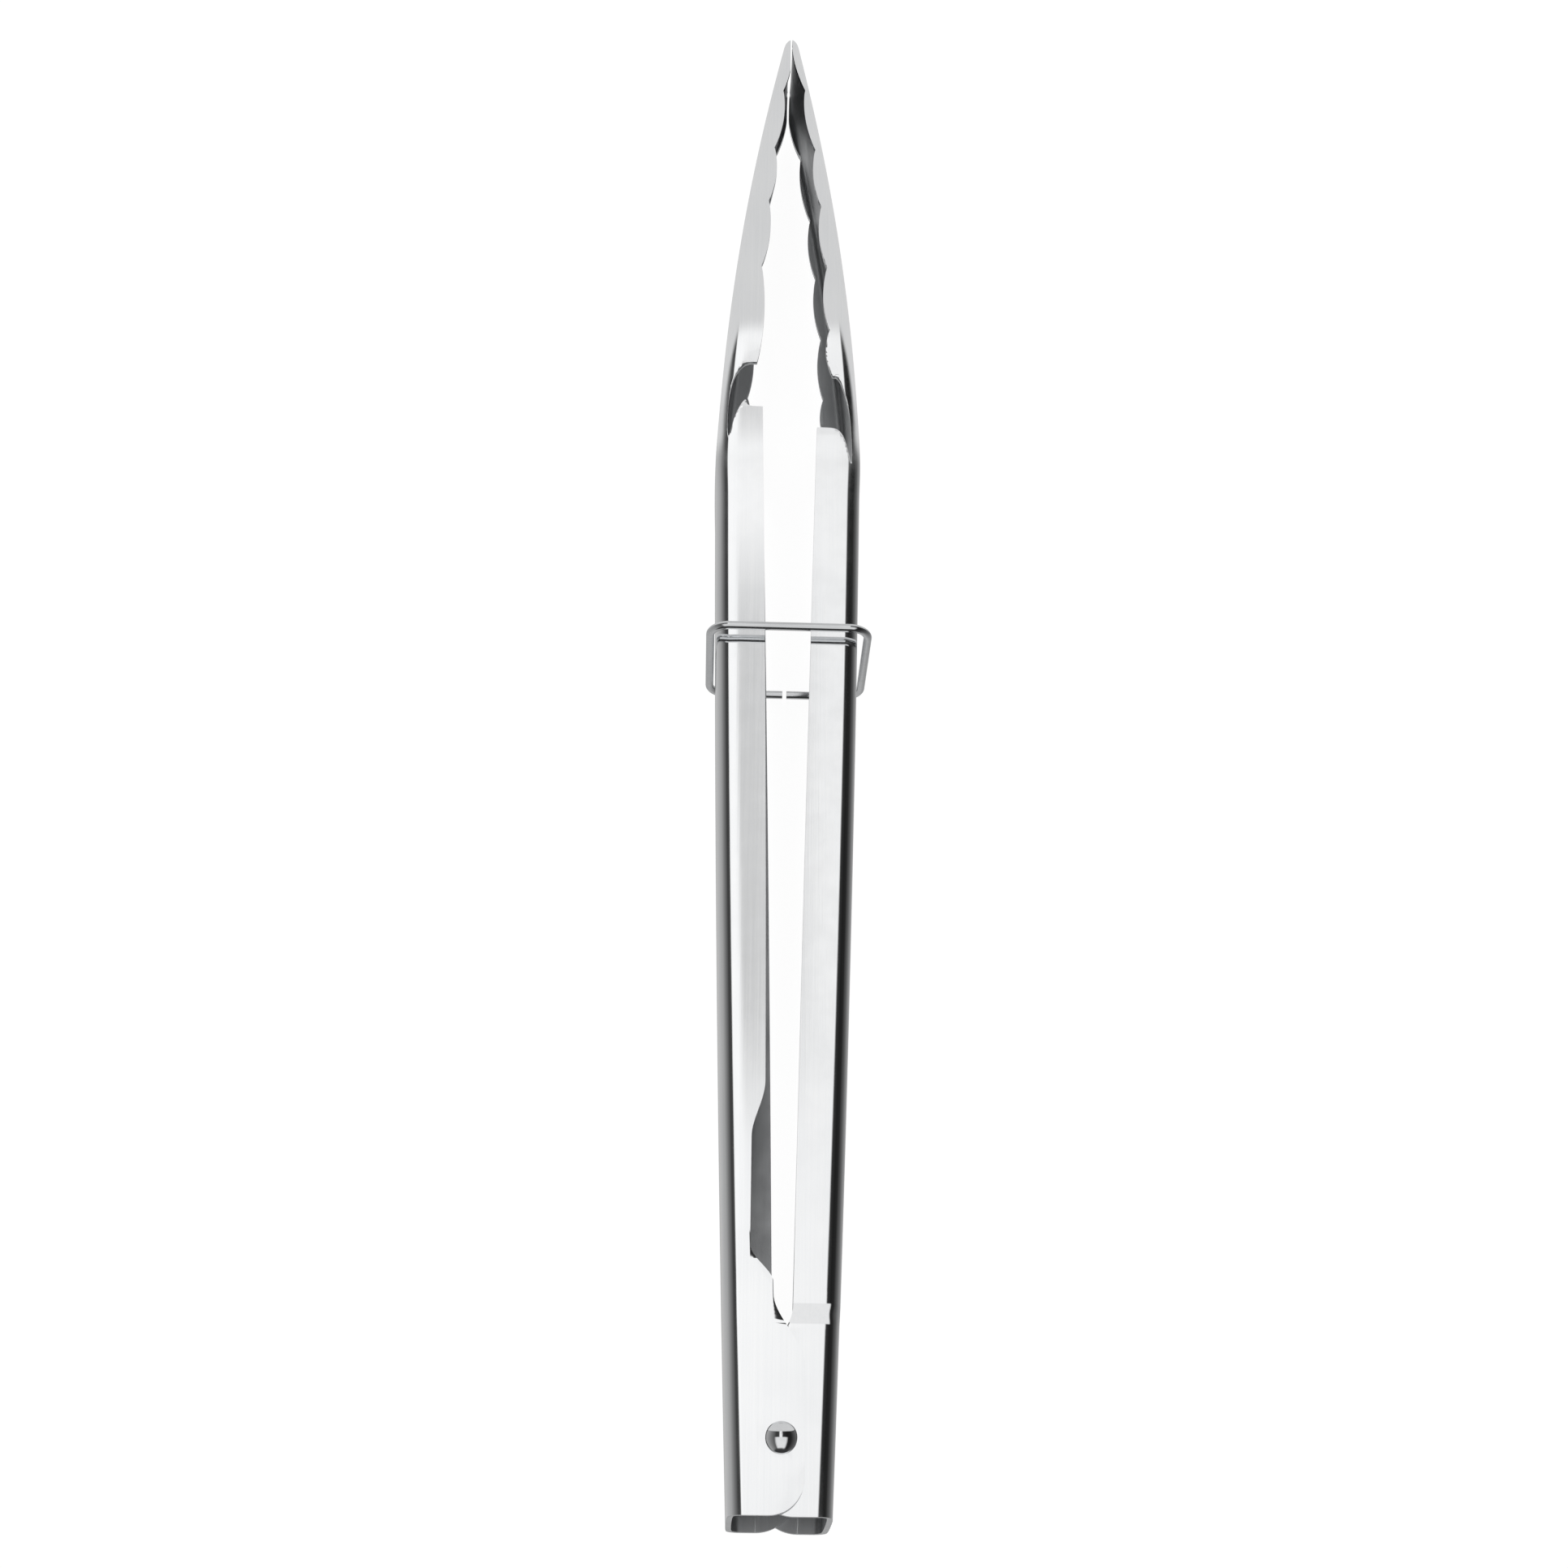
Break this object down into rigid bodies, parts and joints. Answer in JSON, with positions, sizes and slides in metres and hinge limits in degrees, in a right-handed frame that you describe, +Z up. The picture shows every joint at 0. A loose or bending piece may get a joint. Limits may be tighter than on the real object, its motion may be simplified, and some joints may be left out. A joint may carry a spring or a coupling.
{
  "type": "spring loaded kitchen tongs",
  "caption": "All-steel kitchen tongs: stamped channel arms with scalloped jaws on a riveted, sprung pivot, held shut by a sliding wire lock ring.",
  "frame": {"origin": "under the middle of the tongs' bounding box, on the surface that they lie on", "axes": "+Y along the tongs from the pivot end to the tips, +X the side that the moving arm opens to, +Z up, along the rivet"},
  "size_m": [0.0302, 0.301, 0.0273],
  "materials": {
    "polished_sheet": "polished stainless steel",
    "rivet_steel": "polished stainless steel",
    "spring_wire": "drawn spring wire",
    "ring_wire": "polished stainless wire"
  },
  "bodies": {
    "left_body": {"left_arm": "polished_sheet", "pivot_rivet": "rivet_steel", "spacer_sleeve": "rivet_steel", "torsion_spring": "spring_wire"},
    "right_body": {"right_arm": "polished_sheet"},
    "ring_body": {"lock_ring": "ring_wire"}
  },
  "joints": [
    {"name": "ring_slide", "type": "slide", "parent": "left_body", "child": "ring_body", "axis": [0.029, -0.9996, 0], "range_m": [0, 0.134]},
    {"name": "arm_open", "type": "hinge", "parent": "left_body", "child": "right_body", "pos_m": [-0.00035, -0.1391, 0.01365], "axis": [0, 0, -1], "range_deg": [0, 5.7], "stiffness_Nm_per_rad": 0.6, "springref_deg": 24.98, "deforming": ["torsion_spring"]}
  ],
  "couplings": [
    {"joint": "arm_open", "follows": "ring_slide", "rad_per_m": 0.73}
  ]
}
